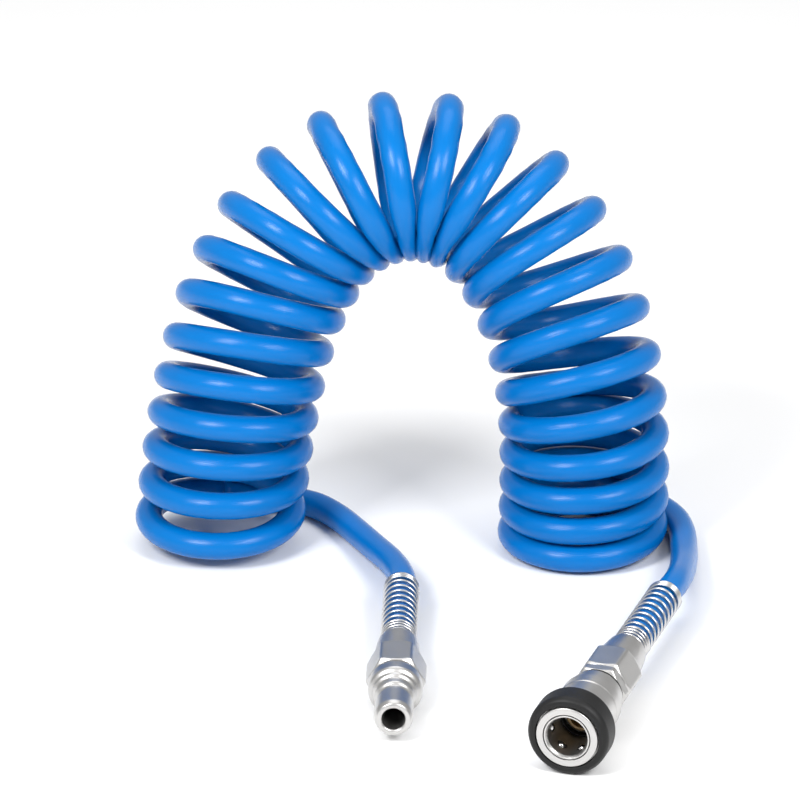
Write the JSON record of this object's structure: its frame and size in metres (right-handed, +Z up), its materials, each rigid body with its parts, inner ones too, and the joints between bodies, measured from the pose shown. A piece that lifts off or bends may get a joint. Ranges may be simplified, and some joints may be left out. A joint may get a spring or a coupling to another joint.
{
  "type": "coiled air hose",
  "caption": "Coiled blue polyurethane air hose standing as an arch, with a male quick plug on one tail and a sleeve-locked female quick coupler on the other.",
  "frame": {"origin": "centre of the plug side foot of the coil, on the table", "axes": "+X along the arch towards its coupler side foot, +Y away from the two fittings, which point towards -Y, +Z up"},
  "size_m": [0.1663, 0.1894, 0.1414],
  "materials": {
    "blue_hose": "gloss",
    "nickel_plated": "satin",
    "spring_steel": "satin",
    "black_rubber": "matte",
    "brass": "satin"
  },
  "bodies": {
    "plug_half": {"hose_coil_plug_leg": "blue_hose", "hose_coil_plug_arch": "blue_hose", "hose_tail_plug": "blue_hose", "hose_grip_plug": "blue_hose", "plug_body": "nickel_plated", "plug_cap_nut": "nickel_plated", "plug_spring_guard": "spring_steel"},
    "coupler_half": {"hose_coil_coupler_arch": "blue_hose", "hose_coil_coupler_leg": "blue_hose", "hose_tail_coupler": "blue_hose", "hose_grip_coupler": "blue_hose", "coupler_body": "nickel_plated", "mouth_ring": "nickel_plated", "mouth_seal": "black_rubber", "coupler_adapter": "nickel_plated", "adapter_gasket": "black_rubber", "coupler_cap_nut": "nickel_plated", "coupler_spring_guard": "spring_steel", "sleeve_spring": "spring_steel", "valve_spring": "spring_steel"},
    "sleeve": {"coupler_sleeve": "nickel_plated", "coupler_bumper": "black_rubber"},
    "valve": {"valve_poppet": "brass", "valve_seal": "black_rubber"},
    "ball_1": {"locking_ball_1": "spring_steel"},
    "ball_2": {"locking_ball_2": "spring_steel"},
    "ball_3": {"locking_ball_3": "spring_steel"},
    "ball_4": {"locking_ball_4": "spring_steel"},
    "ball_5": {"locking_ball_5": "spring_steel"},
    "ball_6": {"locking_ball_6": "spring_steel"}
  },
  "joints": [
    {"name": "coil_bend", "type": "hinge", "parent": "plug_half", "child": "coupler_half", "pos_m": [0.0588, 0, 0.1415], "axis": [0, -1, 0], "range_deg": [0, 20], "stiffness_Nm_per_rad": 0.4, "springref_deg": -8.59},
    {"name": "sleeve_slide", "type": "slide", "parent": "coupler_half", "child": "sleeve", "axis": [0.2756, 0.9613, 0], "range_m": [0, 0.0034], "stiffness_N_per_m": 1500, "springref_m": -0.003, "deforming": ["sleeve_spring"]},
    {"name": "valve_slide", "type": "slide", "parent": "coupler_half", "child": "valve", "axis": [0.2756, 0.9613, 0], "range_m": [0, 0.0028], "stiffness_N_per_m": 800, "springref_m": -0.003, "deforming": ["valve_spring"]},
    {"name": "ball_lift_1", "type": "slide", "parent": "coupler_half", "child": "ball_1", "axis": [0.9613, -0.2756, 0], "range_m": [0, 0.0009]},
    {"name": "ball_lift_2", "type": "slide", "parent": "coupler_half", "child": "ball_2", "axis": [0.4806, -0.1378, 0.866], "range_m": [0, 0.0009]},
    {"name": "ball_lift_3", "type": "slide", "parent": "coupler_half", "child": "ball_3", "axis": [-0.4806, 0.1378, 0.866], "range_m": [0, 0.0009]},
    {"name": "ball_lift_4", "type": "slide", "parent": "coupler_half", "child": "ball_4", "axis": [-0.9613, 0.2756, 0], "range_m": [0, 0.0009]},
    {"name": "ball_lift_5", "type": "slide", "parent": "coupler_half", "child": "ball_5", "axis": [-0.4806, 0.1378, -0.866], "range_m": [0, 0.0009]},
    {"name": "ball_lift_6", "type": "slide", "parent": "coupler_half", "child": "ball_6", "axis": [0.4806, -0.1378, -0.866], "range_m": [0, 0.0009]}
  ],
  "couplings": [
    {"joint": "ball_lift_1", "follows": "sleeve_slide", "ratio": 0.20588},
    {"joint": "ball_lift_2", "follows": "sleeve_slide", "ratio": 0.20588},
    {"joint": "ball_lift_3", "follows": "sleeve_slide", "ratio": 0.20588},
    {"joint": "ball_lift_4", "follows": "sleeve_slide", "ratio": 0.20588},
    {"joint": "ball_lift_5", "follows": "sleeve_slide", "ratio": 0.20588},
    {"joint": "ball_lift_6", "follows": "sleeve_slide", "ratio": 0.20588}
  ]
}
